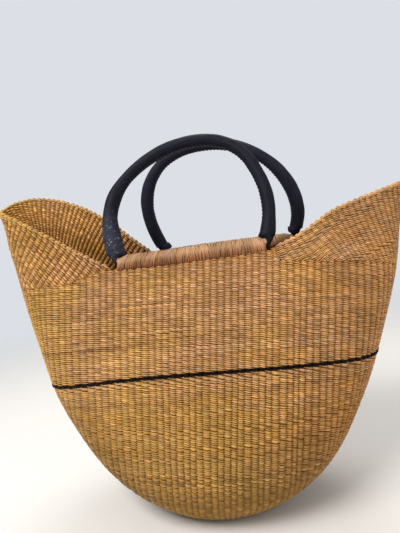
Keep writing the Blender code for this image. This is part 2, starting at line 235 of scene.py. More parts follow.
class Strands:
    """Collects tubes and makes one mesh of them, with a length-and-round UV
    map for the fibres, a packed map of strips, and a colour for each ring."""

    def __init__(self, sides=6, chunks=4):
        self.sides = sides
        self.chunks = chunks
        self.parts = []

    def add(self, centre, n, u, hn, hu, colour, edge=0.78, start=0.0, inner=None):
        """Centres with two cross directions and half sizes (metres)."""
        k = self.sides
        a = 2 * PI * np.arange(k) / k
        off = (np.cos(a)[None, :, None] * (n * hn[:, None])[:, None, :]
               + np.sin(a)[None, :, None] * (u * hu[:, None])[:, None, :])
        v = centre[:, None, :] + off
        v[..., 2] = np.maximum(v[..., 2], 0.00005)
        # painted shade: a strand is darker and redder at its top and bottom, where it lies against the next one
        rim = (1 - (1 - edge) * np.abs(np.sin(a)) ** 2)[None, :, None] ** np.array([0.60, 1.0, 1.4])
        c = np.repeat(colour[:, None, :], k, 1) * rim
        if inner is not None:
            c = c * (1 + (inner[:, None, :] - 1) * (0.5 - 0.5 * np.cos(a))[None, :, None])
        length = start + np.concatenate([[0], np.cumsum(np.linalg.norm(np.diff(centre, axis=0), axis=1))])
        self.parts.append((v, c, length))

    def faces(self):
        return sum(2 * (p[0].shape[0] - 1) * self.sides for p in self.parts)

    def build(self, name, mat, slot, body, nodes=()):
        k = self.sides
        verts = np.concatenate([p[0].reshape(-1, 3) for p in self.parts])
        cols = np.concatenate([p[1].reshape(-1, 3) for p in self.parts])
        loops, uv, bake = [], [], []
        base = 0
        strips = sum(min(self.chunks, p[0].shape[0] - 1) for p in self.parts)
        strip = 0
        for v, c, length in self.parts:
            r = v.shape[0]
            i = np.arange(r - 1)[:, None]
            j = np.arange(k)[None, :]
            j2 = (j + 1) % k
            quad = np.stack([i * k + j, i * k + j2, (i + 1) * k + j2, (i + 1) * k + j], -1)
            loops.append((quad + base).reshape(-1))
            l0 = np.broadcast_to(length[:-1][:, None], (r - 1, k))
            l1 = np.broadcast_to(length[1:][:, None], (r - 1, k))
            v0 = np.broadcast_to(j / k, (r - 1, k)).astype(float)
            v1 = v0 + 1.0 / k
            uv.append(np.stack([np.stack([l0, v0], -1), np.stack([l0, v1], -1),
                                np.stack([l1, v1], -1), np.stack([l1, v0], -1)], 2).reshape(-1, 2))
            m = min(self.chunks, r - 1)
            ch = np.minimum((np.arange(r - 1) * m) // (r - 1), m - 1)
            first = np.searchsorted(ch, np.arange(m))
            last = np.append(first[1:], r - 1)
            f0 = (np.arange(r - 1) - first[ch]) / (last - first)[ch]
            f1 = (np.arange(1, r) - first[ch]) / (last - first)[ch]
            y0 = (strip + ch) / strips
            hgt = 1.0 / strips
            pad = 0.10
            bx0 = np.broadcast_to((0.004 + 0.992 * f0)[:, None], (r - 1, k))
            bx1 = np.broadcast_to((0.004 + 0.992 * f1)[:, None], (r - 1, k))
            by0 = y0[:, None] + hgt * (pad + (1 - 2 * pad) * v0)
            by1 = y0[:, None] + hgt * (pad + (1 - 2 * pad) * v1)
            bake.append(np.stack([np.stack([bx0, by0], -1), np.stack([bx0, by1], -1),
                                  np.stack([bx1, by1], -1), np.stack([bx1, by0], -1)], 2).reshape(-1, 2))
            strip += m
            base += r * k
        loops = np.concatenate(loops).astype(np.int32)
        me = bpy.data.meshes.new(name)
        me.vertices.add(len(verts))
        me.vertices.foreach_set("co", verts.astype(np.float32).ravel())
        me.loops.add(len(loops))
        me.loops.foreach_set("vertex_index", loops)
        nf = len(loops) // 4
        me.polygons.add(nf)
        me.polygons.foreach_set("loop_start", np.arange(nf, dtype=np.int32) * 4)
        me.polygons.foreach_set("loop_total", np.full(nf, 4, dtype=np.int32))
        me.polygons.foreach_set("use_smooth", np.ones(nf, dtype=bool))
        me.update(calc_edges=True)
        for label, data in (("strand", uv), ("OFBake", bake)):
            layer = me.uv_layers.new(name=label)
            layer.data.foreach_set("uv", np.concatenate(data).astype(np.float32).ravel())
        me.uv_layers.active = me.uv_layers["strand"]
        col = me.color_attributes.new("straw", "FLOAT_COLOR", "POINT")
        rgba = np.ones((len(cols), 4), np.float32)
        rgba[:, :3] = np.clip(cols, 0, 1)
        col.data.foreach_set("color", rgba.ravel())
        me.materials.append(mat)
        ob = bpy.data.objects.new(name, me)
        scene.collection.objects.link(ob)
        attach(ob, body)
        if nodes:
            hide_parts(*nodes)
        return ob


# ------------------------------------------------------------ materials
def new_material(name):
    mat = bpy.data.materials.new(name)
    mat.use_nodes = True
    nt = mat.node_tree
    return mat, nt, nt.nodes["Principled BSDF"]


def link(nt, a, b):
    nt.links.new(a, b)


def math_node(nt, op, a, b=None, clamp=False):
    n = nt.nodes.new("ShaderNodeMath")
    n.operation = op
    n.use_clamp = clamp
    for i, v in enumerate((a, b)):
        if v is None:
            continue
        if isinstance(v, (int, float)):
            n.inputs[i].default_value = v
        else:
            nt.links.new(v, n.inputs[i])
    return n.outputs[0]


def straw_material(name, rough=(0.40, 0.62), bump=0.55, fibre=0.40):
    """Straw: the strand's colour with its painted shade, finer and coarser fibres along it."""
    mat, nt, bsdf = new_material(name)
    att = nt.nodes.new("ShaderNodeAttribute")
    att.attribute_name = "straw"
    uv = nt.nodes.new("ShaderNodeUVMap")
    uv.uv_map = "strand"
    parts = nt.nodes.new("ShaderNodeSeparateXYZ")
    link(nt, uv.outputs[0], parts.inputs[0])
    # the straw is twisted a little, so its fibres run slightly across it
    turn = math_node(nt, "MULTIPLY_ADD", parts.outputs["X"], 42.0)
    link(nt, parts.outputs["Y"], turn.node.inputs[2])
    mp = nt.nodes.new("ShaderNodeCombineXYZ")
    link(nt, math_node(nt, "MULTIPLY", parts.outputs["X"], 85.0), mp.inputs["X"])
    link(nt, math_node(nt, "MULTIPLY", turn, 13.0), mp.inputs["Y"])
    fib = nt.nodes.new("ShaderNodeTexNoise")
    fib.inputs["Scale"].default_value = 1.0
    fib.inputs["Detail"].default_value = 2.5
    fib.inputs["Roughness"].default_value = 0.6
    link(nt, mp.outputs[0], fib.inputs["Vector"])
    tc = nt.nodes.new("ShaderNodeTexCoord")
    spot = nt.nodes.new("ShaderNodeTexNoise")
    spot.inputs["Scale"].default_value = 55.0
    spot.inputs["Detail"].default_value = 3.0
    link(nt, tc.outputs["Object"], spot.inputs["Vector"])
    k = math_node(nt, "MULTIPLY_ADD", fib.outputs["Fac"], fibre * 2)
    k.node.inputs[2].default_value = 1.0 - fibre
    k2 = math_node(nt, "MULTIPLY_ADD", spot.outputs["Fac"], 0.36)
    k2.node.inputs[2].default_value = 0.82
    both = math_node(nt, "MULTIPLY", k, k2)
    mul = nt.nodes.new("ShaderNodeVectorMath")
    mul.operation = "SCALE"
    link(nt, att.outputs["Color"], mul.inputs[0])
    link(nt, both, mul.inputs["Scale"])
    link(nt, mul.outputs[0], bsdf.inputs["Base Color"])
    rr = nt.nodes.new("ShaderNodeMapRange")
    rr.inputs["To Min"].default_value = rough[1]
    rr.inputs["To Max"].default_value = rough[0]
    link(nt, fib.outputs["Fac"], rr.inputs["Value"])
    link(nt, rr.outputs[0], bsdf.inputs["Roughness"])
    bp = nt.nodes.new("ShaderNodeBump")
    bp.inputs["Strength"].default_value = bump
    bp.inputs["Distance"].default_value = 0.0004
    link(nt, fib.outputs["Fac"], bp.inputs["Height"])
    link(nt, bp.outputs[0], bsdf.inputs["Normal"])
    bsdf.inputs["Specular IOR Level"].default_value = 0.22
    return mat


straw = straw_material("straw")
black_straw = straw_material("black_straw", rough=(0.45, 0.65), fibre=0.4)
black_straw.node_tree.nodes["Principled BSDF"].inputs["Specular IOR Level"].default_value = 0.08
roll_straw = straw_material("roll_straw", rough=(0.42, 0.62), fibre=0.42)


def leather_material(name, wear_and_glint_at=None, gain=1.0):
    mat, nt, bsdf = new_material(name)
    tc = nt.nodes.new("ShaderNodeTexCoord")
    uv = nt.nodes.new("ShaderNodeUVMap")
    uv.uv_map = "strand"
    grain = nt.nodes.new("ShaderNodeTexVoronoi")
    grain.inputs["Scale"].default_value = 1100.0
    grain.feature = "SMOOTH_F1"
    link(nt, tc.outputs["Object"], grain.inputs["Vector"])
    mp = nt.nodes.new("ShaderNodeMapping")
    mp.inputs["Scale"].default_value = (330.0, 3.0, 1.0)
    link(nt, uv.outputs[0], mp.inputs[0])
    wr = nt.nodes.new("ShaderNodeTexNoise")
    wr.inputs["Scale"].default_value = 1.0
    wr.inputs["Detail"].default_value = 4.0
    wr.inputs["Roughness"].default_value = 0.65
    link(nt, mp.outputs[0], wr.inputs["Vector"])
    cloud = nt.nodes.new("ShaderNodeTexNoise")
    cloud.inputs["Scale"].default_value = 90.0
    cloud.inputs["Detail"].default_value = 5.0
    link(nt, tc.outputs["Object"], cloud.inputs["Vector"])
    ramp_ = nt.nodes.new("ShaderNodeValToRGB")
    ramp_.color_ramp.elements[0].position = 0.30
    ramp_.color_ramp.elements[0].color = (0.0040 * gain, 0.0042 * gain, 0.0080 * gain, 1)
    ramp_.color_ramp.elements[1].position = 0.78
    ramp_.color_ramp.elements[1].color = (0.0118 * gain, 0.0123 * gain, 0.0210 * gain, 1)
    mixf = math_node(nt, "MULTIPLY_ADD", wr.outputs["Fac"], 0.5)
    link(nt, math_node(nt, "MULTIPLY", cloud.outputs["Fac"], 0.5), mixf.node.inputs[2])
    link(nt, mixf, ramp_.inputs[0])
    colour = ramp_.outputs[0]
    rough = nt.nodes.new("ShaderNodeMapRange")
    rough.inputs["To Min"].default_value = 0.46
    rough.inputs["To Max"].default_value = 0.72
    link(nt, cloud.outputs["Fac"], rough.inputs["Value"])
    height = math_node(nt, "MULTIPLY_ADD", wr.outputs["Fac"], 0.9)
    link(nt, math_node(nt, "MULTIPLY", grain.outputs["Distance"], 0.35), height.node.inputs[2])
    if wear_and_glint_at is not None:
        # the cracked, rubbed stretch: pale flakes where the black has gone, partly wear and partly painted glints,
        # under a painted bluish sheen
        sub = nt.nodes.new("ShaderNodeVectorMath")
        sub.operation = "DISTANCE"
        link(nt, tc.outputs["Object"], sub.inputs[0])
        sub.inputs[1].default_value = wear_and_glint_at
        near = nt.nodes.new("ShaderNodeMapRange")
        near.inputs["From Min"].default_value = 0.036
        near.inputs["From Max"].default_value = 0.012
        link(nt, sub.outputs["Value"], near.inputs["Value"])
        crack = nt.nodes.new("ShaderNodeTexNoise")
        crack.inputs["Scale"].default_value = 420.0
        crack.inputs["Detail"].default_value = 4.0
        crack.inputs["Roughness"].default_value = 0.7
        link(nt, tc.outputs["Object"], crack.inputs["Vector"])
        fl = nt.nodes.new("ShaderNodeMapRange")
        fl.inputs["From Min"].default_value = 0.575
        fl.inputs["From Max"].default_value = 0.68
        link(nt, crack.outputs["Fac"], fl.inputs["Value"])
        flake_and_glint_mask = math_node(nt, "MULTIPLY", near.outputs[0], fl.outputs[0], clamp=True)
        # painted sheen: a lighter bluish patch over the worn stretch
        painted_sheen = nt.nodes.new("ShaderNodeMix")
        painted_sheen.data_type = "RGBA"
        link(nt, math_node(nt, "MULTIPLY", near.outputs[0], cloud.outputs["Fac"]), painted_sheen.inputs["Factor"])
        link(nt, colour, painted_sheen.inputs["A"])
        painted_sheen.inputs["B"].default_value = (0.036, 0.040, 0.060, 1)
        colour = painted_sheen.outputs["Result"]
        # the pale flakes: partly wear where the black has gone, partly painted glints
        mix = nt.nodes.new("ShaderNodeMix")
        mix.data_type = "RGBA"
        link(nt, flake_and_glint_mask, mix.inputs["Factor"])
        link(nt, colour, mix.inputs["A"])
        mix.inputs["B"].default_value = (0.24, 0.26, 0.32, 1)
        colour = mix.outputs["Result"]
        extra = math_node(nt, "MULTIPLY", crack.outputs["Fac"], near.outputs[0])
        height = math_node(nt, "ADD", height, math_node(nt, "MULTIPLY", extra, 2.2))
    link(nt, colour, bsdf.inputs["Base Color"])
    link(nt, rough.outputs[0], bsdf.inputs["Roughness"])
    bp = nt.nodes.new("ShaderNodeBump")
    bp.inputs["Strength"].default_value = 0.55
    bp.inputs["Distance"].default_value = 0.0007
    link(nt, height, bp.inputs["Height"])
    link(nt, bp.outputs[0], bsdf.inputs["Normal"])
    bsdf.inputs["Specular IOR Level"].default_value = 0.11
    bsdf.inputs["Specular Tint"].default_value = (0.82, 0.86, 1.0, 1)
    return mat


leather = leather_material("leather", gain=1.7)

# ------------------------------------------------------------ straw colours
GOLD = np.array([0.540, 0.350, 0.100])
TAN = np.array([0.490, 0.300, 0.150])
AMBER = np.array([0.545, 0.295, 0.092])
# painted shade: the stakes and the ribbons between rows are darker and redder than the straw, as the shade seen in
# the gaps
GAP_SHADE = np.array([0.34, 0.145, 0.034])
_patch = [(unit_gen.normal(size=3) * k_, unit_gen.uniform(0, 2 * PI)) for unit_gen in (np.random.default_rng(5),)
          for k_ in (30, 45, 60, 75, 90, 110, 130, 160)]


def patches(p):
    out = 0
    for k_, ph in _patch:
        out = out + np.sin(p @ k_ + ph)
    return out / 2.0


def base_colour(p):
    """Straw colour by place: golden on the left and below, pinker at the
    middle above the band, more amber on the right, in soft patches."""
    x, z = p[:, 0], p[:, 2]
    right = ramp(x, 0.02, 0.20)[:, None]
    spot = patches(p)
    tan = ramp(z, 0.13, 0.21) * ramp(x, -0.20, -0.09) * (1 - 0.55 * ramp(x, 0.06, 0.19))
    tan = np.clip(0.10 + 0.75 * tan + 0.24 * spot, 0, 1)[:, None]
    c = GOLD * (1 - right) + AMBER * right
    # painted shade: the straw is darker towards the bottom, more so at the lower left, and a little at the lower
    # right
    low = 1 - 0.24 * (1 - ramp(z, 0.02, 0.15)) - 0.31 * ramp(-x, 0.0, 0.14) * (1 - ramp(z, 0.10, 0.19))
    low = low - 0.10 * ramp(x, 0.05, 0.13) * (1 - ramp(z, 0.08, 0.16))
    # and redder, with less green and blue, towards the bottom and on the lower sides
    deep = (1 - ramp(z, 0.03, 0.085)) + ramp(np.abs(x), 0.05, 0.12) * (1 - ramp(z, 0.10, 0.17))
    deep = 1 - np.clip(deep, 0, 1)[:, None] * np.array([0.02, 0.08, 0.24])
    return (c * (1 - tan) + TAN * tan) * deep * (low * (1 + 0.045 * patches(p + 0.7)))[:, None]


def straw_run(n, gen=rng, sigma=0.11, hue=0.06):
    """Brightness and hue factors (n, 3) along a strand that is spliced from
    straws of different colours."""
    out = np.zeros((n, 3))
    i = 0
    prev = None
    while i < n:
        step = int(gen.uniform(45, 170))
        b = math.exp(gen.normal(0, sigma))
        h = gen.normal(0, hue)
        f = np.array([b * (1 + 0.4 * h), b ** 1.12 * (1 - 0.2 * h), b ** 1.6 * (1 - 1.9 * h)])
        out[i:i + step] = f
        if prev is not None and i > 2:
            for j in range(4):
                if i + j < n:
                    out[i + j] = prev + (f - prev) * (j + 1) / 5
        prev = f
        i += step
    return out


# ------------------------------------------------------------ stakes round the basket
EYE = np.array(eye)
R2, U2, FW = np.array(r2), np.array(u2), np.array(fw)
PITCH = 0.00195


def ring_points(q, t):
    if q < 0:
        k = 1 + q / DISC
        return np.stack([DISC_A * k * np.cos(t), DISC_B * k * np.sin(t), 0 * t], -1)
    return body_point(t, np.full_like(t, max(z_of_q(q), 2e-6)))


def across(p):
    """Sideways place as seen from the front or the back: the stakes of the
    two broad faces stand upright and evenly spaced in that view."""
    d = p - EYE
    front = (d @ R2) / (d @ FW)
    back = (0.0782 - 0.02 - p[:, 0]) / (p[:, 1] - 0.4526) * 1.0
    return np.where(p[:, 1] < 0, front, back) * 400


def facing(t):
    a = np.degrees(np.arcsin(np.abs(np.cos(t)).clip(0, 1)))
    return 1 - ramp(a, 40.0, 74.0)


def trace_stakes(levels):
    """Stake angles on each row, from the rim down. A stake that crowds its
    neighbour ends, as the weaver added it there on the way up."""
    gen = np.random.default_rng(11)
    e = 1e-3
    q = levels[0]
    fine = np.linspace(0, 2 * PI, 2881)
    p = ring_points(q, fine)
    seg = np.linalg.norm(np.diff(p, axis=0), axis=1)
    mid_t = 0.5 * (fine[1:] + fine[:-1])
    seen = np.abs(np.diff(across(p)))
    w = facing(mid_t)
    rho = w * np.minimum(seen, seg * 1250) / 6.95 + (1 - w) * seg / 0.0067
    cum = np.concatenate([[0], np.cumsum(rho)])
    count = int(round(cum[-1]))
    t = np.interp((np.arange(count) + 0.5) * cum[-1] / count, cum, fine)
    ident = np.arange(count)
    limit = gen.uniform(0.0033, 0.0043, 4000)
    out = {q: (t.copy(), ident.copy())}
    for q1 in levels[1:]:
        i = np.interp(q, _map_q, np.arange(len(_map_q)))
        a = int(min(i, len(_map_q) - 2))
        row = _map[a] * (1 - (i - a)) + _map[a + 1] * (i - a)
        tm = np.mod(t, 2 * PI)
        share = t_of_w(np.interp(tm, row, np.linspace(0, 1, 721)), q1) - tm
        z1 = z_of_q(max(q1, 0))
        step = share
        if q1 > 0:
            x0, x1 = across(ring_points(q, tm)), across(ring_points(q1, tm))
            dx = (across(ring_points(q1, tm + e)) - across(ring_points(q1, tm - e))) / (2 * e)
            dx = np.where(np.abs(dx) < 20, 20 * np.sign(dx + 1e-9), dx)
            # towards the bottom the ribs draw together a little
            centre = np.where(np.sin(tm) < 0, 35.0, -68.0)
            draw = np.interp(z1, (0.0, 0.015, 0.06, 0.12, 0.17, 0.20), (2.1, 1.9, 0.9, 0.42, 0.15, 0.0)) * (q - q1)
            seen = np.clip(-(x1 - x0 + draw * (x0 - centre)) / dx, -0.03, 0.03)
            w = facing(tm) * ramp(z1, 0.003, 0.022)
            step = share * (1 - w) + seen * w
        t = t + step
        # even out the gaps a little on the sides and below
        p = ring_points(q1, t)
        gap = np.linalg.norm(np.roll(p, -1, 0) - p, axis=1)
        speed = np.linalg.norm(ring_points(q1, t + e) - ring_points(q1, t - e), axis=1) / (2 * e)
        free = 0.07 * (1 - facing(t) * ramp(z1, 0.003, 0.022)) + 0.008
        t = t + free * (gap - np.roll(gap, 1)) / 2 / speed + gen.normal(0, 0.00011, len(t)) / speed
        order = np.argsort(t)
        t, ident = t[order], ident[order]
        for _ in range(6):
            p = ring_points(q1, t)
            gap = np.linalg.norm(np.roll(p, -1, 0) - p, axis=1)
            tight = gap / limit[ident]
            j = int(np.argmin(tight))
            if tight[j] >= 1 or len(t) < 14:
                break
            k = (j + 1) % len(t)
            drop = j if gap[j - 1] < gap[k] else k
            t, ident = np.delete(t, drop), np.delete(ident, drop)
        out[q1] = (t.copy(), ident.copy())
        q = q1
    return out


def spaced(a, b, pitch=PITCH):
    n = max(1, int(round((b - a) / pitch)))
    return a + (np.arange(n) + 0.5) * (b - a) / n


def row_pitch(q):
    return PITCH * (1 + 0.30 * (1 - ramp(z_of_q(np.maximum(q, 0)), 0.03, 0.12)))


def widening(a, b):
    q = np.linspace(a, b, 600)
    cum = np.concatenate([[0], np.cumsum(np.diff(q) / row_pitch(0.5 * (q[1:] + q[:-1])))])
    n = int(round(cum[-1]))
    return np.interp((np.arange(n) + 0.5) * cum[-1] / n, cum, q)


q_base = q_of_z(BASE_TOP)
q_lo = q_of_z(BAND_Z - BAND_H / 2)
q_hi = q_of_z(BAND_Z + BAND_H / 2)
q_step = q_of_z(RIM_Z - WING_DROP)
q_rim = q_of_z(RIM_Z)
BASE_ROWS = np.concatenate([widening(-DISC * 0.95, 0), widening(0, q_base)])
LOWER_ROWS = widening(q_base, 0.5 * (q_lo + q_hi) - 0.00178)
q_mid = 0.5 * (q_lo + q_hi)
DYED_ROWS = q_mid + np.array([-0.00086, 0.00086])
UPPER_ROWS = np.concatenate([spaced(q_mid + 0.00178, q_step), spaced(q_step, q_rim - 0.0006)])
ALL_ROWS = np.concatenate([BASE_ROWS, LOWER_ROWS, DYED_ROWS, UPPER_ROWS])
STAKES = trace_stakes(ALL_ROWS[::-1])

# ------------------------------------------------------------ twined rows
AMP, SLANT = 0.00126, -0.00060       # how far a strand swings out, and up across a stake
STAGGER = 0.00043                    # the two strands of a row lie at slightly different heights
HN, HU = 0.00098, 0.00090           # half thickness and half height of a strand
unit_noise = np.random.default_rng(99)


def wave(s):
    c = np.cos(PI * s)
    return np.sign(c) * np.abs(c) ** 0.62


# gentle unevenness of the whole wall, from a few plane waves
_waves = [(unit_noise.normal(size=3) * 26, unit_noise.uniform(0, 2 * PI)) for _ in range(9)]


def unevenness(p):
    out = 0
    for k, ph in _waves:
        out = out + np.sin(p @ k + ph)
    return out / 3.0 * 0.00045


def twine(dst, p, n, u, s, gen, tint=1.0, colour=None, amp=AMP, slant=SLANT, hn=HN, hu=HU,
          fade=False, jitter=1.0, dark=None, pit=0.76, edge=0.34, holes=None, vary=0.085, stagger=STAGGER, wash=None, inner=None):
    """Adds the two strands of one row. p is the middle of the wall."""
    k = len(s)
    mid = p + n * unevenness(p)[:, None]
    jv = smooth_noise(k, 14, gen) * 0.00012 * jitter
    jn = smooth_noise(k, 6, gen) * 0.00009 * jitter
    for side in (1, -1):
        over = np.abs(wave(s))
        r = amp * side * wave(s)
        v = slant * side * np.sin(PI * s) + stagger * side
        # each stitch over a stake has its own size and shade
        stitch = np.round(s - (0 if side > 0 else 1) * 0).astype(int)
        pick = gen.normal(0, 1, stitch.max() + 2)
        shade = np.exp(vary * pick[stitch])
        grain = smooth_noise(k, 5, gen)
        hh = hu * (0.72 + 0.32 * over ** 1.5) * (1 + 0.08 * grain)
        hw = hn * (1 + 0.10 * smooth_noise(k, 5, gen))
        if fade:
            e = np.minimum(np.arange(k), np.arange(k)[::-1]) / 3.0
            e = np.clip(e, 0, 1)
            r = r * (0.25 + 0.75 * e)
            hh = hh * (0.65 + 0.35 * e)
            hw = hw * (0.65 + 0.35 * e)
        c = mid + n * (r + jn)[:, None] + u * (v + jv)[:, None]
        base = base_colour(c) if colour is None else np.broadcast_to(colour, c.shape)
        # painted shade: the strand is darker and redder where the two strands cross between stakes, down to pit at
        # the crossing
        groove_shade = pit + (1 - pit) * over ** 0.8
        if holes is not None:
            # painted shade of the openings under a wing
            groove_shade = groove_shade * (1 - holes * (1 - over ** 1.5))
        col = base * straw_run(k, gen) * ((1 + 0.05 * grain) * shade * tint)[:, None]
        col = col * groove_shade[:, None] ** np.array([0.43, 1.12, 2.5])
        if wash is not None:
            col = col * wash
        if dark is not None:
            col = col * (1 - dark[:, None] * (1 - np.array([0.50, 0.42, 0.42])))
        dst.add(c, n, u, hw, hh, col, edge=edge, start=float(gen.uniform(0, 3)), inner=inner)


def full_row(q):
    """Samples of a whole row at wall length q."""
    st = STAKES[q][0]
    n = len(st)
    s = np.arange(0, n * 4 + 1) / 4.0
    t = np.interp(s, np.arange(n + 1), np.append(st, st[0] + 2 * PI))
    if q < 0:
        k = 1 + q / DISC
        p = np.stack([DISC_A * k * np.cos(t), DISC_B * k * np.sin(t), 0 * t], -1)
        nn = np.tile([0.0, 0, -1], (len(t), 1))
        uu = unit(np.stack([DISC_A * np.cos(t), DISC_B * np.sin(t), 0 * t], -1))
        z = None
    else:
        z = np.full_like(t, max(z_of_q(q), 2e-6))
        p, nn, uu = surface(t, z)
    return s, t, z, p - nn * (WALL / 2), nn, uu


def foot_dip(p):
    """Room for the handles' feet: 1 where the top rows stop early."""
    out = np.zeros(len(p))
    for y, x0, wide in ((-1, SHIFT_FRONT, RING_FRONT), (1, SHIFT_BACK, RING_BACK)):
        for sx in (-1, 1):
            near = (np.abs(p[:, 0] - (x0 + sx * 0.0795)) < 0.0062) & (np.sign(p[:, 1]) == y)
            out[near] = 1
    return out


def rows_piece(name, qs, mat, slot, nodes, limit=185_000, **kw):
    """The rows at these wall lengths, cut into pieces under the limit."""
    made = []
    dst = Strands(6, 4)
    for q in qs:
        gen = np.random.default_rng(int(round((q + 1) * 1e6)))
        s, t, z, p, nn, uu = full_row(q)
        runs = [slice(0, len(s))]
        fade = False
        if z is not None and z[0] > wall_top(np.array([0.0]))[0] - 0.0005:
            ok = z <= wall_top(t) + 1e-5
            ok &= ~((foot_dip(p) > 0) & (z > RIM_Z - 0.0038))
            edge = np.flatnonzero(np.diff(np.concatenate([[0], ok.astype(int), [0]])))
            runs = [slice(a, b) for a, b in zip(edge[::2], edge[1::2]) if b - a >= 7]
            fade = True
        for run in runs:
            opts = dict(kw)
            opts.setdefault("hu", HU * float(row_pitch(q)) / PITCH)
            if z is not None:
                gap = wall_top(t[run]) - z[run]
                # painted shade: in the wall's top row under a wing the crossings are darkened further, for the
                # openings there
                at = (gap < PITCH * 1.02) & (np.abs(np.cos(t[run])) > WING_SHARE)
                if at.any():
                    opts["holes"] = at * np.where(np.cos(t[run]) > 0, 0.85, 0.45)
            if "dark_row" in opts:
                fn = opts.pop("dark_row")
                opts["dark"] = fn(q, p[run])
            twine(dst, p[run], nn[run], uu[run], s[run], gen, fade=fade, **opts)
        if dst.faces() > limit - 16_000:
            made.append(dst)
            dst = Strands(6, 4)
    if dst.parts:
        made.append(dst)
    return [d.build(name if len(made) == 1 else "%s_%d" % (name, i + 1), mat, slot, "basket", nodes)
            for i, d in enumerate(made)]


STREAKS = ((q_of_z(0.1935), -0.20, -0.03, 0.72), (q_of_z(0.1915), -0.10, 0.06, 0.30),
           (q_of_z(0.222), 0.02, 0.20, 0.35), (q_of_z(0.178), -0.02, 0.20, 0.30),
           (q_of_z(0.236), -0.05, 0.16, 0.25))


def streak(q, p):
    """A few runs of darker straw, one row high."""
    out = np.zeros(len(p))
    for q0, x0, x1, k in STREAKS:
        if abs(q - q0) < PITCH * 0.55:
            g = ramp(p[:, 0], x0, x0 + 0.02) * (1 - ramp(p[:, 0], x1 - 0.02, x1)) * (p[:, 1] < 0)
            out = np.maximum(out, k * g)
    return out


rows_piece("base_rows", BASE_ROWS, straw, "golden_straw", ["base_weave"])
rows_piece("lower_rows", LOWER_ROWS, straw, "golden_straw", ["lower_wall"])
rows_piece("dyed_rows", DYED_ROWS, black_straw, "dyed_black_straw", ["accent_band"],
           colour=np.array([0.0055, 0.0032, 0.0036]), amp=0.00200, slant=0.00034, hn=0.00092, hu=0.00086, edge=0.8,
           stagger=0.0)
rows_piece("upper_rows", UPPER_ROWS, straw, "tan_straw", ["upper_wall"], dark_row=streak)

# ------------------------------------------------------------ stakes inside the wall
def stakes_piece():
    dst = Strands(5, 1)
    tracks = {}
    levels = ALL_ROWS[::3]
    for q in levels:
        t, ident = STAKES[q]
        if q < 0:
            p = ring_points(q, t)
            nn = np.tile([0.0, 0, -1], (len(t), 1))
            keep = np.ones(len(t), bool)
        else:
            z = np.full_like(t, max(z_of_q(q), 2e-6))
            p, nn, uu = surface(t, z)
            keep = (z <= wall_top(t)) & ~((foot_dip(p) > 0) & (z > RIM_Z - 0.0065))
        mid = p - nn * (WALL / 2)
        mid = mid + nn * unevenness(mid)[:, None]
        for j in np.flatnonzero(keep):
            tracks.setdefault(int(ident[j]), []).append((mid[j], nn[j]))
    for pts in tracks.values():
        if len(pts) < 3:
            continue
        c = np.array([a for a, b in pts])
        nn = np.array([b for a, b in pts])
        tan = unit(np.gradient(c, axis=0))
        side = unit(np.cross(nn, tan))
        h = np.full(len(c), 0.0010)
        # the stake, in the painted shade colour
        dst.add(c, nn, side, h, h, np.tile(GAP_SHADE, (len(c), 1)))
        # a thin ribbon of dark straw between two rows, which no light comes through, painted as the shade in the gap
        dst.add(c[::2], nn[::2], side[::2], h[::2] * 0.5, h[::2] * 3.7, np.tile(GAP_SHADE * 0.9, (len(c[::2]), 1)))
    return dst.build("stakes", straw, "golden_straw", "basket", ["lower_wall"])


stakes_piece()


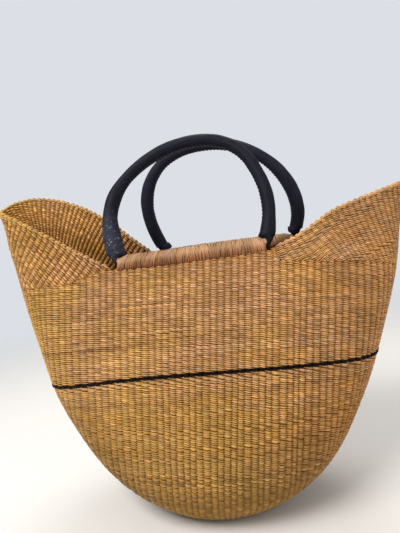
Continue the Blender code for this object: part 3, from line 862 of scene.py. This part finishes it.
# ------------------------------------------------------------ wings
def wing_piece(side, mid):
    t_all = mid + np.radians(np.linspace(-80.0, 80.0, 1100))
    top_z = np.maximum(rim_height(t_all), wall_top(t_all) + 0.0004)
    rim = body_point(t_all, top_z)
    seg = np.linalg.norm(np.diff(rim, axis=0), axis=1)
    arc = np.concatenate([[0], np.cumsum(seg)])
    slope = np.gradient(rim[:, 2], arc)
    slope = np.clip(slope, -0.9, 0.9)
    lean = 1 / np.sqrt(1 - slope ** 2)
    kern = np.exp(-np.linspace(-2, 2, 61) ** 2)
    lean = np.convolve(np.pad(lean, 30, mode="edge"), kern / kern.sum(), "valid")

    def height(t, d):
        return np.interp(t, t_all, top_z) - d * np.interp(t, t_all, lean)

    def point(t, d):
        return body_point(t, height(t, d))

    pitch = 0.00272 if side == "left" else 0.00200
    first = 0.0012
    deep = float((top_z - wall_top(t_all)).max())
    rows = int(deep / pitch) + 3
    # the stakes stand wider apart on the left wing's front
    wide = np.full(len(seg), 0.0064)
    if side == "left":
        wide = 0.0061 + 0.0023 * ramp(t_all[1:] - mid, -0.05, 0.25)
    cum = np.concatenate([[0], np.cumsum(seg / wide)])
    count = int(round(cum[-1]))
    tj = np.interp((np.arange(count) + 0.5) * cum[-1] / count, cum, t_all)
    e = 1e-4
    tracks = [tj]
    sub = 3
    for k in range(rows):
        t = tracks[-1].copy()
        for i in range(sub):
            d = first + (k + i / sub) * pitch
            pt = (point(t + e, d) - point(t - e, d)) / (2 * e)
            pd = (point(t, d + e) - point(t, d - e)) / (2 * e)
            t = t - (pt * pd).sum(1) / (pt * pt).sum(1) * pitch / sub
            if side == "left":
                # on the front the stakes lean further, down towards the tip
                more = math.tan(math.radians(11)) * ramp(np.abs(np.cos(t)), 0.40, 0.90) * ramp(
                    t - mid, 0.06, 0.55)
                t = t - more / np.sqrt((pt * pt).sum(1)) * pitch / sub
        t = np.clip(t, mid - math.radians(80), mid + math.radians(80))
        tracks.append(t)
    tracks = np.array(tracks)
    # a stake ends where it would crowd the next one
    alive = np.ones(tracks.shape, bool)
    for k in range(1, tracks.shape[0]):
        alive[k] = alive[k - 1]
        p = point(tracks[k], first + k * pitch)
        live = np.flatnonzero(alive[k])
        last = live[0]
        for j in live[1:]:
            gap = np.linalg.norm(p[j] - p[last])
            if gap < 0.0034 and (j % 2 or gap < 0.0020):
                alive[k, j] = False
            else:
                last = j
    made = []
    dst = Strands(6, 3)
    stakes = {}
    for k in range(rows):
        gen = np.random.default_rng(1000 + k + (500 if mid else 0))
        d = first + k * pitch
        tl = tracks[k][alive[k]]
        if len(tl) < 3:
            break
        # where the stakes fan out, another one is let in between two
        gaps = np.linalg.norm(np.diff(point(tl, d), axis=0), axis=1)
        limit = np.where((side == "left") & (tl[1:] > mid + 0.05), 0.0096, 0.0070)
        more = np.maximum(1, np.round(gaps / limit).astype(int))
        tl = np.concatenate([tl[:1]] + [a_ + (b_ - a_) * np.arange(1, n_ + 1) / n_
                                        for a_, b_, n_ in zip(tl[:-1], tl[1:], more)])
        s = np.arange(0, (len(tl) - 1) * 4 + 1) / 4.0
        t = np.interp(s, np.arange(len(tl)), tl)
        z = height(t, d)
        ok = (z > wall_top(t) - 0.0004) & (np.abs(np.cos(t)) > WING_SHARE - 0.03)
        ok &= ~((foot_dip(body_point(t, z)) > 0) & (np.abs(np.cos(t)) < 0.45))
        edge = np.flatnonzero(np.diff(np.concatenate([[0], ok.astype(int), [0]])))
        p, nn, uu0 = surface(t, z)
        tan = unit(np.gradient(p, axis=0))
        uu = unit(np.cross(nn, tan))
        uu = uu * np.sign(uu[:, 2:3] + 1e-9)
        mid_p = p - nn * (WALL / 2)
        for a, b in zip(edge[::2], edge[1::2]):
            if b - a < 4:
                continue
            run = slice(a, b)
            pr = mid_p[run]
            inner = np.ones((b - a, 3))
            if side == "left":
                wash = np.array([0.93, 0.96, 1.06])
                # inside, the back's lower part is painted browner and darker, as painted shadow below the front
                # rim's edge in the camera's view; the inside faces are painted about a third lighter, as painted
                # light
                d_ = pr - EYE
                sx, sy = 400 * (d_ @ R2) / (d_ @ FW) + 200, 266.5 - 400 * (d_ @ U2) / (d_ @ FW)
                rim_shadow = ramp(sy - (211 + 0.475 * (sx - 8)), -13, -5)[:, None] * (pr[:, 1:2] > 0)
                inner = np.array([1.31, 1.30, 1.22]) * (1 - rim_shadow * np.array([0.12, 0.16, 0.29]))
                twine(dst, pr, nn[run], uu[run], s[run], gen, fade=True, pit=0.42, amp=0.00150, edge=0.16,
                      slant=SLANT, hu=0.00116, wash=wash, inner=inner, vary=0.15)
                # a thin ribbon of dark straw between this row and the next, painted as the shade in the gap
                low = pr - uu[run] * (pitch / 2)
                dst.add(low, nn[run], uu[run], np.full(b - a, 0.0003), np.full(b - a, 0.0011),
                        np.tile(GAP_SHADE * 0.9, (b - a, 1)))
            else:
                twine(dst, pr, nn[run], uu[run], s[run], gen, fade=True, pit=0.91, amp=0.00122, edge=0.54,
                      wash=np.array([0.92, 0.90, 0.93]))
        for j in np.flatnonzero(alive[k]):
            zz = height(tracks[k][j:j + 1], d)
            if zz[0] > wall_top(tracks[k][j:j + 1])[0] - 0.004:
                pp, n1, _ = surface(tracks[k][j:j + 1], zz)
                stakes.setdefault(j, []).append((pp[0] - n1[0] * WALL / 2, n1[0]))
        if dst.faces() > 170_000:
            made.append(dst)
            dst = Strands(6, 3)
    if dst.parts:
        made.append(dst)
    slot = "golden_straw" if side == "left" else "amber_straw"
    for i, m_ in enumerate(made):
        m_.build("%s_wing_rows_%d" % (side, i + 1), straw, slot, "basket", [side + "_wing"])
    st = Strands(5, 1)
    for j, pts in stakes.items():
        if len(pts) < 3:
            continue
        c = np.array([a for a, b in pts])
        nn = np.array([b for a, b in pts])
        tan = unit(np.gradient(c, axis=0))
        sd = unit(np.cross(nn, tan))
        h = np.full(len(c), 0.0011)
        # the stake and the ribbon beside it, in the painted shade colour
        st.add(c, nn, sd, h, h, np.tile(GAP_SHADE, (len(c), 1)))
        st.add(c, nn, sd, h * 0.4, h * 3.5, np.tile(GAP_SHADE * 0.9, (len(c), 1)))
    st.build("%s_wing_stakes" % side, straw, slot, "basket", [side + "_wing"])

    # the finished edge: every stake end is bent over and bound down by a
    # few turns of straw, which leaves a row of rounded bumps
    on = np.abs(np.cos(t_all)) > WING_SHARE + 0.005
    a0, a1 = arc[on][0], arc[on][-1]
    places = np.interp(tj, t_all, arc)
    places = places[(places > a0 + 0.002) & (places < a1 - 0.002)]
    p, nn, _ = surface(t_all, top_z)
    tan = unit(np.gradient(p, axis=0))
    uu = unit(np.cross(nn, tan))
    uu = uu * np.sign(uu[:, 2:3] + 1e-9)
    mid_p = p - nn * (WALL / 2)
    mid_p = mid_p + nn * unevenness(mid_p)[:, None]
    at = lambda v, x: np.stack([np.interp(x, arc, v[:, i]) for i in range(3)], -1)
    ed = Strands(6, 1)
    gen = np.random.default_rng(77 if mid else 78)
    hand = 1 if side == "right" else -1
    th = np.radians(np.linspace(-35, 215, 13))
    for a_j in places:
        lift = gen.normal(0, 0.00014)
        shade = math.exp(gen.normal(0, 0.10))
        for m_ in (-1, 0, 1):
            x = a_j + m_ * 0.00170 + hand * 0.0011 * np.cos(th)
            pm, n1, u1 = at(mid_p, x), unit(at(nn, x)), unit(at(uu, x))
            rn = 0.00215 - 0.00045 * m_ * m_
            ru = 0.00215 - 0.00085 * m_ * m_ + lift
            low = np.minimum(np.sin(th), 0) * 0.0016
            c = pm + n1 * (rn * np.cos(th))[:, None] + u1 * (-0.0010 + ru * np.maximum(np.sin(th), 0) + low)[:, None]
            tn = unit(np.gradient(c, axis=0))
            out = unit(n1 * np.cos(th)[:, None] + u1 * (np.sin(th) + 0.15)[:, None])
            sd = unit(np.cross(tn, out))
            g = gen.normal(0, 0.07)
            h = np.full(len(th), 0.00098) * (1 + g) * (0.75 + 0.25 * np.sin(np.linspace(0, PI, 13)))
            # painted light and shade: each bump is lighter over its top and darker underneath
            col = base_colour(c) * shade * math.exp(gen.normal(0, 0.08)) * (0.94 + 0.10 * np.sin(th))[:, None]
            ed.add(c, out, sd, h * 0.85, h * 1.05, col, edge=0.55)
    ed.build("%s_wing_edge" % side, straw, "edge_straw", "basket", [side + "_wing_border"])


wing_piece("right", 0.0)
wing_piece("left", PI)


# ------------------------------------------------------------ rolls on the rim
def rim_frame(t):
    t = np.array([t, t])
    z = np.array([RIM_Z - 0.004, RIM_Z])
    p, n, _ = surface(t, z)
    low, top = [Vector(v) for v in p - n * (WALL / 2)]
    up = top - low
    up.x = 0
    up.normalize()
    n = up.cross(Vector((1, 0, 0)))
    if n.y * top.y < 0:
        n = -n
    return top, n, up


ROLL_REACH = 0.0775       # the winding runs on under the handle's feet


def roll_piece(name, side, shift, seed):
    gen = np.random.default_rng(seed)
    p, n, up = rim_frame(math.copysign(PI / 2, side))
    axis = p + up * BAR_LIFT
    axis.x = shift
    n, up, axis = np.array(n), np.array(up), np.array(axis)
    mid = axis - up * ROLL_DROP
    hn, hu = ROLL_W / 2, ROLL_H / 2
    turns = 158
    per = 28
    total = turns * per + 1
    s = np.arange(total) / per
    even = (-1 + 2 * s / turns)
    bunch = np.interp(s, np.arange(turns + 2), smooth_noise(turns + 2, 8, gen)) * 0.0006 * (1 - even ** 6)
    x = even * (ROLL_REACH - 0.0006) + bunch
    # turns lie at slightly different slants and cross each other a little
    lean = np.interp(even, [-1, -0.8, -0.4, 0.2, 0.75, 1], [0.0022, 0.0036, 0.0012, 0.0002, -0.0010, -0.0024])
    fan = lean + np.interp(s, np.arange(turns + 2), gen.normal(0, 0.0010, turns + 2)
                           + 0.0012 * smooth_noise(turns + 2, 7, gen))
    a = 2 * PI * s - PI / 2
    cap = 0.0052
    e = np.clip((np.abs(x) - (ROLL_REACH - cap)) / cap, 0, 0.985)
    shrink = 0.34 + 0.66 * np.sqrt(1 - e ** 2)
    lump = 1 + 0.020 * np.interp(s, np.arange(turns + 2), smooth_noise(turns + 2, 7, gen))
    lay = np.interp(s, np.arange(turns + 2), gen.uniform(0, 1, turns + 2))
    # the roll is slimmer front to back under the handle's feet
    slim = 1 - 0.24 * ramp(np.abs(x), 0.0575, 0.0680)
    rn = ((hn - 0.00062) * shrink * lump + 0.00030 * lay) * slim
    ru = (hu - 0.00062) * shrink * lump + 0.00030 * lay
    c = (mid + np.outer(rn * np.cos(a), n) + np.outer(ru * np.sin(a), up))
    # under the roll the turns pass between two stakes, so they bunch there
    at = (np.round(s) / turns * 2 - 1) * ROLL_REACH
    cell = 0.0068
    pull = (np.floor(at / cell) + 0.5) * cell - at
    below = np.clip(-np.sin(a), 0, 1) ** 1.3
    x = x + 0.22 * pull * below * np.clip(1.3 - 1.3 * e, 0, 1)
    c[:, 0] = mid[0] + x + fan * np.sin(a) * np.clip(1.2 - e, 0, 1)
    c[:, 0] = np.clip(c[:, 0], mid[0] - ROLL_REACH, mid[0] + ROLL_REACH)
    out = unit(np.outer(np.cos(a) / hn, n) + np.outer(np.sin(a) / hu, up))
    tan = unit(np.gradient(c, axis=0))
    sd = unit(np.cross(tan, out))
    g = np.interp(s, np.arange(turns + 2), gen.normal(0, 1, turns + 2))
    h = 0.00056 * (1 + 0.16 * g)
    light = 0.5 + 0.5 * np.sin(a)                   # 1 on top, 0 at the bottom
    # painted light and shade: each turn is lighter on top and darker below, and darker still in the notches where
    # the turns bunch between two stakes
    tone = ramp(light, 0.02, 0.60)[:, None] * (1 - 0.5 * (np.abs(pull) / cell * below)[:, None])
    lit_top_c, shaded_low_c = np.array([0.395, 0.243, 0.134]), np.array([0.27, 0.115, 0.048])
    base = shaded_low_c * (1 - tone) + lit_top_c * tone
    b = np.exp(np.interp(s, np.arange(turns + 2), gen.normal(0, 0.11, turns + 2)))
    b = b * np.exp(0.10 * np.interp(s, np.arange(turns + 2), smooth_noise(turns + 2, 10, gen)))
    hue = np.interp(s, np.arange(turns + 2), gen.normal(0, 0.06, turns + 2))
    col = base * b[:, None] * np.stack([1 + 0.3 * hue, 1 + 0 * hue, 1 - 2 * hue], -1)
    dst = Strands(6, 24)
    dst.add(c, out, sd, h * 0.60, h * 1.10, col, edge=0.44)
    # straw under the winding
    k = 40
    xx = np.linspace(-ROLL_REACH + 0.0012, ROLL_REACH - 0.0012, k)
    ee = np.clip((np.abs(xx) - (ROLL_REACH - cap)) / cap, 0, 0.97)
    sh = 0.30 + 0.66 * np.sqrt(1 - ee ** 2)
    dst.build(name, roll_straw, "roll_straw", "basket", [name.replace("_roll", "_rim_binding")])
    fill = Strands(24, 1)
    cc = np.tile(mid, (k, 1))
    cc[:, 0] += xx
    # the filling is painted dark, about a third of the winding's colour, as the shade between the turns
    fill.add(cc, np.tile(n, (k, 1)), np.tile(up, (k, 1)), (hn - 0.0012) * sh * (1 - 0.24 * ramp(np.abs(xx), 0.0575, 0.0680)),
             (hu - 0.0012) * sh,
             np.tile((shaded_low_c + lit_top_c) * 0.36, (k, 1)), edge=1.0)
    fill.build(name + "_filling", roll_straw, "roll_straw", "basket", [name.replace("_roll", "_rim_binding")])
    return axis


front_axis = roll_piece("front_roll", -1, SHIFT_FRONT, 31)
back_axis = roll_piece("back_roll", 1, SHIFT_BACK, 32)


# ------------------------------------------------------------ handles
def half_width(h, widest, top):
    k = np.clip((h - RING_MID) / (top - RING_MID), 0, 1)
    up = widest * np.sqrt(1 - k * k)
    k = np.clip((RING_MID - h) / RING_MID, 0, 1)
    low = widest - (widest - FOOT_HALF) * k * k
    return np.where(h >= RING_MID, up, low)


def skew(h, sign):
    start, rate = RING_SKEW[sign]
    k = np.maximum(0.0, h - start)
    return rate * 1.2 * k * k / (k + 0.030)


# how much thicker the cover is on a leg (left, right), and the heights
# between which it gets there; the arch's right side is a little fuller
LEG = {-1: ((0.00140, 0.098, 0.062), (0.00015, 0.060, 0.040)),
       1: ((0.00120, 0.112, 0.070), (0.00140, 0.100, 0.062))}
FULL = {-1: 0.94, 1: 0.87}


# the foot: the cover spreads on the roll and runs out in a tongue that is
# tucked round the roll's end (height, middle, half width, half depth)
FOOT = np.array([
    (-0.0068, 0.0792, 0.0003, 0.0005), (-0.0060, 0.0793, 0.0007, 0.0016), (-0.0045, 0.0796, 0.0014, 0.0029),
    (-0.0020, 0.0802, 0.0022, 0.0043), (0.0010, 0.0809, 0.0031, 0.0053), (0.0040, 0.08125, 0.0043, 0.0062),
    (0.0060, 0.0809, 0.0059, 0.0070), (0.0070, 0.0796, 0.0079, 0.0074), (0.0080, 0.0794, 0.0085, 0.0077),
    (0.0098, 0.0804, 0.0082, 0.0077), (0.0120, 0.0814, 0.0078, 0.0077)])


def handle_piece(name, axis, sign, widest, seed, wear_and_glint_left):
    gen = np.random.default_rng(seed)
    top = RING_TOP[sign]
    rise = np.array([0, -sign * math.sin(LEAN), math.cos(LEAN)])
    side = np.array([1.0, 0, 0])
    face = np.cross(side, rise)
    # the arch without its feet, from left to right
    h = np.linspace(0.0120, RING_MID, 14)
    left = np.stack([-half_width(h, widest, top), h], -1)
    a = np.linspace(PI, 0, 140)
    reach = np.cos(a)
    reach = np.where(reach > 0, np.abs(reach) ** FULL[sign], reach)
    arch = np.stack([widest * reach, RING_MID + (top - RING_MID) * np.sin(a)], -1)[1:-1]
    path = np.concatenate([left, arch, left[::-1] * [-1, 1]])
    path[:, 0] += skew(path[:, 1], sign)
    seg = np.linalg.norm(np.diff(path, axis=0), axis=1)
    arc = np.concatenate([[0], np.cumsum(seg)])
    count = 250
    ss = np.linspace(0, arc[-1], count)
    path = np.stack([np.interp(ss, arc, path[:, 0]), np.interp(ss, arc, path[:, 1])], -1)
    for _ in range(90):
        path[1:-1] = 0.25 * path[:-2] + 0.5 * path[1:-1] + 0.25 * path[2:]
    total = arc[-1]
    from_end = np.minimum(ss, total - ss)
    on_left = ss < total / 2
    rad = np.full(count, 0.00655)
    for here, (more, hi_, lo_) in zip((on_left, ~on_left), LEG[sign]):
        rad = rad + here * more * (1 - ramp(path[:, 1], lo_, hi_))
    flare = np.exp(-(from_end / 0.011) ** 2)
    rad = np.maximum(rad, 0.00655 + 0.00125 * flare)
    path[:, 0] += 0.0005 * flare * np.where(on_left, 1, -1)
    rad = rad * (1 + 0.016 * smooth_noise(count, 14, gen) + 0.008 * smooth_noise(count, 4, gen))
    # the worn leg is swollen towards its foot
    extra = 0.0019 * on_left * (1 - ramp(path[:, 1], 0.028, 0.054)) * (sign < 0)
    path[:, 0] += 0.32 * extra
    # feet stations, finely spaced
    fh = np.linspace(FOOT[0, 0], 0.0117, 34)
    fm = np.interp(fh, FOOT[:, 0], FOOT[:, 1])
    fx = np.interp(fh, FOOT[:, 0], FOOT[:, 2])
    fy = np.interp(fh, FOOT[:, 0], FOOT[:, 3])
    kern = np.array([0.2, 0.6, 0.2])
    for v in (fm, fx, fy):
        v[1:-1] = kern[0] * v[:-2] + kern[1] * v[1:-1] + kern[2] * v[2:]
    grow = ramp(fh, -0.002, 0.012)
    dent = (sign > 0) * np.exp(-((fh - 0.0074) / 0.0026) ** 2)
    lft = np.stack([-fm + 0.32 * extra[0] * grow, fh], -1)
    rgt = np.stack([fm + 0.0014 * dent, fh], -1)
    allp = np.concatenate([lft, path, rgt[::-1]])
    gl, gr = 1 + (rad[0] / 0.0078 - 1) * grow, 1 + (rad[-1] / 0.0078 - 1) * grow
    wide = fx * (1 + ((rad[0] + extra[0]) / 0.0078 - 1) * grow)
    hx = np.concatenate([wide, rad + extra, (fx * gr * (1 - 0.15 * dent))[::-1]])
    hy = np.concatenate([fy * gl, rad + 0.3 * extra, (fy * gr)[::-1]])
    n = len(allp)
    c = axis + allp[:, :1] * side + allp[:, 1:] * rise
    # section planes: level at the feet, square to the arch above
    tan = unit(np.gradient(axis + np.concatenate([[path[0]] * 34, path, [path[-1]] * 34])[:, :1] * side
                           + np.concatenate([[path[0]] * 34, path, [path[-1]] * 34])[:, 1:] * rise, axis=0) + 1e-12)
    tan[:36], tan[-36:] = tan[36], tan[-37]
    out = unit(np.cross(face, tan))
    to_mid = (axis + RING_MID * rise) - c
    out = out * -np.sign((out * to_mid).sum(1))[:, None]
    feet = np.zeros(n)
    feet[:30] = 1
    feet[-30:] = 1
    feet = np.convolve(np.pad(feet, 6, mode="edge"), np.ones(13) / 13, "valid")
    flat = np.where(np.arange(n) < n / 2, -1.0, 1.0)[:, None] * side
    out = unit(out * (1 - feet[:, None]) + flat * feet[:, None])
    k = 28
    ang = 2 * PI * np.arange(k) / k                 # 0 points outward from the loop
    folds = np.stack([smooth_noise(n, 9, gen) for _ in range(6)])
    shape = np.ones((n, k))
    for i in range(6):
        shape += 0.008 * folds[i][:, None] * np.cos((i + 2) * ang + i)[None]
    # the seam: the cover's two edges meet on the inside of the loop
    near = np.exp(-((ang - PI) / 0.16) ** 2)
    lips = np.exp(-((np.abs(ang - PI) - 0.36) / 0.16) ** 2)
    shape += (-0.09 * near[None] + 0.022 * lips[None]) * (1 - feet[:, None])
    v = c[:, None] + shape[..., None] * (np.cos(ang)[None, :, None] * (out * hx[:, None])[:, None]
                                         + np.sin(ang)[None, :, None] * hy[:, None, None] * face[None, None])
    length = np.concatenate([[0], np.cumsum(np.linalg.norm(np.diff(c, axis=0), axis=1))])
    dst = Strands(k, 6)
    dst.parts.append((v, np.full((n, k, 3), 0.02), length))
    mat = leather
    if wear_and_glint_left:
        j = int(np.argmin(np.abs(allp[:n // 2, 1] - 0.026)))
        mat = leather_material("leather_wear_and_glint", tuple(c[j]))
    dst.build(name + "_leather_cover", mat, "black_leather", name, [name + "_leather"])

    # lacing: short slanting stitches over the seam
    st = Strands(6, 1)
    step = 0.0044
    c0, o0 = c[34:-34], out[34:-34]
    for q in np.arange(0.010, total - 0.010, step):
        i = np.interp(q + np.linspace(-0.5, 0.5, 9) * 0.0026, ss, np.arange(count))
        i0 = np.clip(i.astype(int), 0, count - 2)
        f = (i - i0)[:, None]
        cc = c0[i0] * (1 - f) + c0[i0 + 1] * f
        oo = unit(o0[i0] * (1 - f) + o0[i0 + 1] * f)
        rr_ = np.interp(q, ss, rad)
        th = PI + np.linspace(-1, 1, 9) * 0.42
        lift = -0.00015 + 0.00024 * np.cos(np.linspace(-1, 1, 9) * PI / 2)
        dirs = np.cos(th)[:, None] * oo + np.sin(th)[:, None] * face[None]
        pts = cc + dirs * (rr_ * 0.985 + lift)[:, None]
        tn = unit(np.gradient(pts, axis=0))
        sd = unit(np.cross(tn, dirs))
        hh = np.full(9, 0.00044) * (0.7 + 0.3 * np.cos(np.linspace(-1, 1, 9) * PI / 2))
        st.add(pts, dirs, sd, hh * 0.8, hh * 1.2, np.full((9, 3), 0.02))
    st.build(name + "_stitches", lace, "black_lace", name, [name + "_lacing"])


lace, nt, bs = new_material("lace")
nz = nt.nodes.new("ShaderNodeTexNoise")
nz.inputs["Scale"].default_value = 700.0
cr = nt.nodes.new("ShaderNodeValToRGB")
cr.color_ramp.elements[0].color = (0.008, 0.0082, 0.010, 1)
cr.color_ramp.elements[1].color = (0.030, 0.031, 0.037, 1)
tcn = nt.nodes.new("ShaderNodeTexCoord")
link(nt, tcn.outputs["Object"], nz.inputs["Vector"])
link(nt, nz.outputs["Fac"], cr.inputs[0])
link(nt, cr.outputs[0], bs.inputs["Base Color"])
bs.inputs["Roughness"].default_value = 0.5

handle_piece("front_handle", front_axis, -1, RING_FRONT, 51, True)
handle_piece("back_handle", back_axis, 1, RING_BACK, 52, False)

# the cores stay as the CAD has them, inside the leather, with a straw finish
core_mat, nt, bs = new_material("core_straw")
tcn = nt.nodes.new("ShaderNodeTexCoord")
nz = nt.nodes.new("ShaderNodeTexNoise")
nz.inputs["Scale"].default_value = 260.0
nz.inputs["Detail"].default_value = 4.0
link(nt, tcn.outputs["Object"], nz.inputs["Vector"])
cr = nt.nodes.new("ShaderNodeValToRGB")
cr.color_ramp.elements[0].color = (0.20, 0.10, 0.035, 1)
cr.color_ramp.elements[1].color = (0.55, 0.34, 0.13, 1)
link(nt, nz.outputs["Fac"], cr.inputs[0])
link(nt, cr.outputs[0], bs.inputs["Base Color"])
bs.inputs["Roughness"].default_value = 0.6
for nm in ("front_handle_core", "back_handle_core"):
    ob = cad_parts[nm]
    for sl in ob.material_slots:
        sl.material = core_mat

# ------------------------------------------------------------ floor, sky and lights
SKY = (0.715, 0.745, 0.790)
world = bpy.data.worlds.new("studio")
scene.world = world
world.use_nodes = True
bg = world.node_tree.nodes["Background"]
bg.inputs["Color"].default_value = (*SKY, 1)
# the backdrop is pale, but it fills the shadows with less than its own light
path = world.node_tree.nodes.new("ShaderNodeLightPath")
fill = world.node_tree.nodes.new("ShaderNodeMapRange")
fill.inputs["To Min"].default_value = 0.62
fill.inputs["To Max"].default_value = 1.0
world.node_tree.links.new(path.outputs["Is Camera Ray"], fill.inputs["Value"])
world.node_tree.links.new(fill.outputs[0], bg.inputs["Strength"])
tone = world.node_tree.nodes.new("ShaderNodeMix")
tone.data_type = "RGBA"
tone.inputs["A"].default_value = (0.765, 0.740, 0.705, 1)
tone.inputs["B"].default_value = (*SKY, 1)
world.node_tree.links.new(path.outputs["Is Camera Ray"], tone.inputs["Factor"])
world.node_tree.links.new(tone.outputs["Result"], bg.inputs["Color"])

me = bpy.data.meshes.new("floor")
ring = [(30 * math.cos(2 * PI * i / 64), 30 * math.sin(2 * PI * i / 64), 0.0) for i in range(64)]
me.from_pydata(ring, [], [list(range(64))])
floor = bpy.data.objects.new("floor", me)
scene.collection.objects.link(floor)
mat, nt, bs = new_material("floor")
bs.inputs["Base Color"].default_value = (0.72, 0.72, 0.72, 1)
bs.inputs["Roughness"].default_value = 0.8
em = nt.nodes.new("ShaderNodeEmission")
em.inputs["Color"].default_value = (*SKY, 1)
mx = nt.nodes.new("ShaderNodeMixShader")
geo = nt.nodes.new("ShaderNodeNewGeometry")
ln = nt.nodes.new("ShaderNodeVectorMath")
ln.operation = "LENGTH"
link(nt, geo.outputs["Position"], ln.inputs[0])
mr = nt.nodes.new("ShaderNodeMapRange")
mr.interpolation_type = "SMOOTHSTEP"
mr.inputs["From Min"].default_value = 0.45
mr.inputs["From Max"].default_value = 1.6
link(nt, ln.outputs["Value"], mr.inputs["Value"])
link(nt, mr.outputs[0], mx.inputs[0])
link(nt, bs.outputs[0], mx.inputs[1])
link(nt, em.outputs[0], mx.inputs[2])
link(nt, mx.outputs[0], nt.nodes["Material Output"].inputs["Surface"])
me.materials.append(mat)


def area(name, place, target, size, watts, colour):
    li = bpy.data.lights.new(name, "AREA")
    li.shape = "RECTANGLE"
    li.size, li.size_y = size
    li.energy = watts
    li.color = colour
    ob = bpy.data.objects.new(name, li)
    scene.collection.objects.link(ob)
    ob.location = place
    ob.rotation_euler = (Vector(target) - Vector(place)).to_track_quat("-Z", "Y").to_euler()
    return ob


area("key", (-0.58, -0.95, 1.45), (0, 0, 0.18), (0.8, 0.6), 31, (1.0, 0.965, 0.915))
area("side", (1.3, -0.5, 0.8), (0, 0, 0.2), (0.8, 0.8), 4, (1.0, 0.97, 0.93))
area("top", (0.1, 0.5, 1.5), (0, 0, 0.2), (1.0, 0.8), 9, (1.0, 0.98, 0.95))

scene.view_settings.view_transform = "Standard"
scene.view_settings.look = "None"
